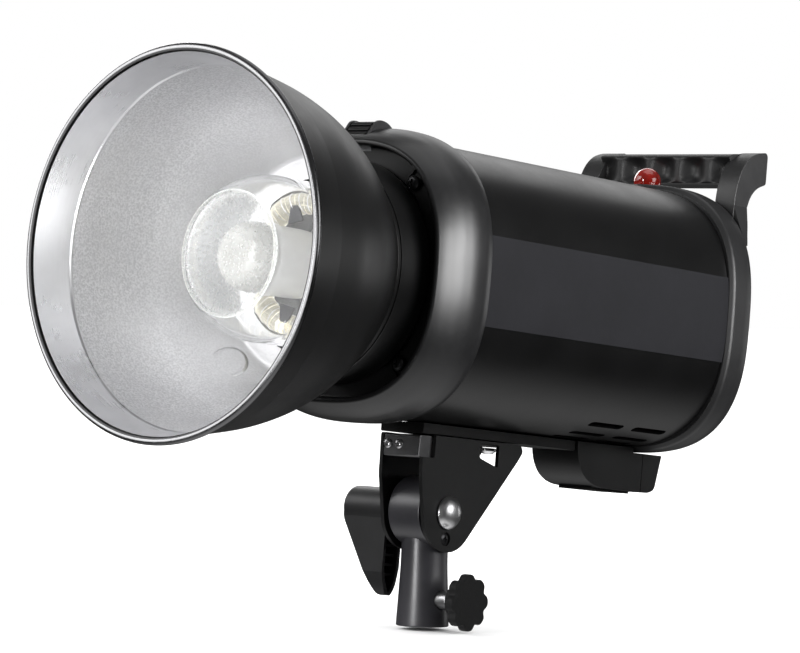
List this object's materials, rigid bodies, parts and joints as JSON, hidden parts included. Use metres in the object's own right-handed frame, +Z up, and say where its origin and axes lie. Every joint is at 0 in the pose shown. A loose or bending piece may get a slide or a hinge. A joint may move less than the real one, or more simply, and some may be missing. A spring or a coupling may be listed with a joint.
{
  "type": "monolight strobe",
  "caption": "Studio flash head with a round bowl reflector, glass-covered flash ring and modelling lamp, rear handle and controls, tilting on a stand socket",
  "frame": {"origin": "centre of the open lower end of the stand socket", "axes": "+Z runs up the socket's bore, -Y is the way the light points, +X is the side with the clamp knob"},
  "size_m": [0.1772, 0.3845, 0.2645],
  "materials": {
    "casting": "dark grey glossy paint on a die casting",
    "steel": "bright plated steel",
    "knob": "black moulded plastic, rough",
    "shell": "black satin paint on aluminium",
    "collar": "black moulded plastic, satin gloss",
    "cover": "dark grey moulded plastic, fine texture",
    "label": "slate grey printed film, matte, no lettering",
    "bowl": "spun aluminium, satin black outside, pebbled silver inside",
    "aluminium": "bare aluminium",
    "powder": "black powder coat on sheet steel, fine texture",
    "fasteners": "blackened steel",
    "rubber": "black rubber",
    "dome_glass": "clear heat-resistant glass",
    "quartz": "quartz tube with a faint yellow coating",
    "frosted": "frosted white lamp glass",
    "ceramic": "white ceramic",
    "brass": "brass screw cap",
    "red_lens": "translucent red plastic",
    "screen": "dark display window",
    "board": "green circuit board",
    "copper": "varnished copper winding and core",
    "sleeve": "blue capacitor sleeve"
  },
  "bodies": {
    "stand": {"stand_socket": "casting", "clamp_bush": "steel"},
    "head": {"body_shell": "shell", "front_collar": "collar", "bayonet_ring": "aluminium", "ring_screw_1": "fasteners", "ring_screw_2": "fasteners", "ring_screw_3": "fasteners", "ring_screw_4": "fasteners", "side_label_right": "label", "side_label_left": "label", "bottom_rail": "cover", "foot_housing": "cover", "foot_cap": "cover", "foot_pad": "rubber", "rear_cover": "cover", "rear_panel": "cover", "display_window": "screen", "mains_inlet": "knob", "sync_jack": "steel", "photocell_dome": "red_lens", "handle": "cover", "glass_dome": "dome_glass", "flash_tube": "quartz", "flash_post_1": "ceramic", "flash_post_2": "ceramic", "modelling_lamp": "frosted", "lamp_cap": "brass", "lamp_holder": "ceramic", "lamp_plate": "aluminium", "chassis_plate": "aluminium", "capacitor_right": "sleeve", "capacitor_left": "sleeve", "power_board": "board", "transformer": "copper", "control_board": "board", "fan_frame": "knob", "tilt_bracket": "powder", "cross_block": "powder", "rail_bolt_front": "steel", "rail_bolt_rear": "steel", "pivot_bolt": "steel", "lever_washer": "steel", "friction_washer_right": "rubber", "friction_washer_left": "rubber"},
    "clamp_screw": {"clamp_screw": "steel"},
    "clamp_knob": {"clamp_knob": "knob"},
    "tilt_lever": {"tilt_lever": "knob"},
    "reflector": {"reflector_bowl": "bowl", "reflector_ring": "bowl"},
    "release_slider": {"release_slider": "cover", "latch_pin": "steel", "latch_spring": "steel"},
    "control_dial": {"control_dial": "knob"},
    "menu_button": {"menu_button": "knob"},
    "sound_button": {"sound_button": "knob"},
    "lamp_button": {"lamp_button": "knob"},
    "test_button": {"test_button": "red_lens"},
    "power_switch": {"power_switch": "red_lens"},
    "fan_rotor": {"fan_rotor": "knob"}
  },
  "joints": [
    {"name": "head_tilt", "type": "hinge", "parent": "stand", "child": "head", "pos_m": [0, 0, 0.054], "axis": [1, 0, 0], "range_deg": [-75, 75]},
    {"name": "tilt_lever_turn", "type": "hinge", "parent": "head", "child": "tilt_lever", "pos_m": [-0.03, 0, 0.054], "axis": [1, 0, 0], "range_deg": [-40, 60]},
    {"name": "clamp_screw_travel", "type": "slide", "parent": "stand", "child": "clamp_screw", "axis": [1, 0, 0], "range_m": [-0.002, 0.003]},
    {"name": "clamp_knob_turn", "type": "hinge", "parent": "clamp_screw", "child": "clamp_knob", "pos_m": [0.024, 0, 0.0128], "axis": [1, 0, 0], "range_deg": [-720, 1080]},
    {"name": "reflector_twist", "type": "hinge", "parent": "head", "child": "reflector", "pos_m": [0, -0.06028, 0.16519], "axis": [0, 0.9968, -0.0802], "range_deg": [-30, 0]},
    {"name": "release_slide", "type": "slide", "parent": "head", "child": "release_slider", "axis": [0, 0.9968, -0.0802], "range_m": [0, 0.004], "stiffness_N_per_m": 400, "springref_m": -0.003},
    {"name": "control_dial_turn", "type": "hinge", "parent": "head", "child": "control_dial", "pos_m": [-0.006, 0.16117, 0.14938], "axis": [0, 0.9968, -0.0802], "continuous": true},
    {"name": "menu_button_press", "type": "slide", "parent": "head", "child": "menu_button", "axis": [0, -0.9968, 0.0802], "range_m": [0, 0.0012], "stiffness_N_per_m": 600, "springref_m": -0.0015},
    {"name": "sound_button_press", "type": "slide", "parent": "head", "child": "sound_button", "axis": [0, -0.9968, 0.0802], "range_m": [0, 0.0012], "stiffness_N_per_m": 600, "springref_m": -0.0015},
    {"name": "lamp_button_press", "type": "slide", "parent": "head", "child": "lamp_button", "axis": [0, -0.9968, 0.0802], "range_m": [0, 0.0012], "stiffness_N_per_m": 600, "springref_m": -0.0015},
    {"name": "test_button_press", "type": "slide", "parent": "head", "child": "test_button", "axis": [0, -0.9968, 0.0802], "range_m": [0, 0.0012], "stiffness_N_per_m": 600, "springref_m": -0.0015},
    {"name": "power_switch_rock", "type": "hinge", "parent": "head", "child": "power_switch", "pos_m": [0.028, 0.15495, 0.11577], "axis": [1, 0, 0], "range_deg": [0, 12]},
    {"name": "fan_spin", "type": "hinge", "parent": "head", "child": "fan_rotor", "pos_m": [0, 0.09323, 0.15284], "axis": [0, 0.9968, -0.0802], "continuous": true}
  ],
  "couplings": [
    {"joint": "clamp_screw_travel", "follows": "clamp_knob_turn", "m_per_rad": 0.00015915}
  ]
}
